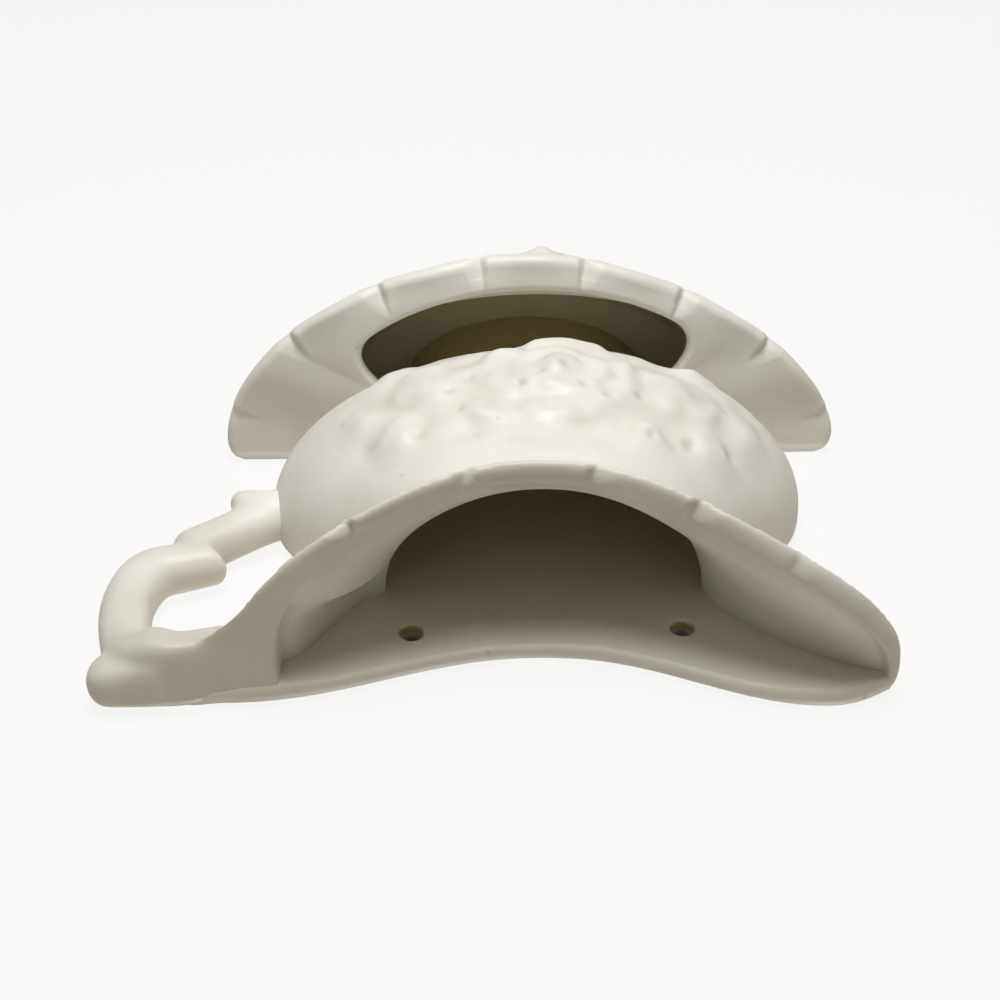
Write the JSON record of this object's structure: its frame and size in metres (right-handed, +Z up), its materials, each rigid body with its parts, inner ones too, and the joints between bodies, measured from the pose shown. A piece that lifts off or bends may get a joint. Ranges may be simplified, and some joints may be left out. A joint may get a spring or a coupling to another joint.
{
  "type": "wall pocket planter",
  "caption": "Glazed ceramic wall pocket shaped as half a ewer standing in half a wash basin, with a flat back, open mouth, crescent slot, crimped rims, rose-stem handle and floral relief.",
  "frame": {"origin": "on the flat back face, midway between the two screw holes", "axes": "+Z up the wall, +Y into the wall, out of the back face, +X towards the handle"},
  "size_m": [0.1914, 0.06, 0.1672],
  "materials": {
    "ivory_glaze": "satin ivory-white glaze",
    "relief_glaze": "satin ivory-white glaze, thinner on the raised relief",
    "glazed_back": "ivory glaze, wiped thin on the flat back and the foot"
  },
  "bodies": {
    "root": {"back_wall": "glazed_back", "pitcher_body": "ivory_glaze", "pitcher_lip": "ivory_glaze", "basin_bowl": "ivory_glaze", "basin_foot": "glazed_back", "basin_rim": "ivory_glaze", "handle_stem": "ivory_glaze", "handle_knuckle": "relief_glaze", "twig_stub_upper": "relief_glaze", "twig_stub_lower": "relief_glaze", "rose_main": "relief_glaze", "rose_handle_side": "relief_glaze", "rose_spout_side": "relief_glaze", "leaf_handle_1": "relief_glaze", "leaf_handle_2": "relief_glaze", "leaf_handle_3": "relief_glaze", "leaf_handle_4": "relief_glaze", "leaf_spout_1": "relief_glaze", "leaf_spout_2": "relief_glaze", "leaf_spout_3": "relief_glaze", "leaf_spout_4": "relief_glaze", "spray_stem": "relief_glaze", "basin_rose": "relief_glaze", "basin_leaf_handle": "relief_glaze", "basin_leaf_spout": "relief_glaze"}
  },
  "joints": []
}
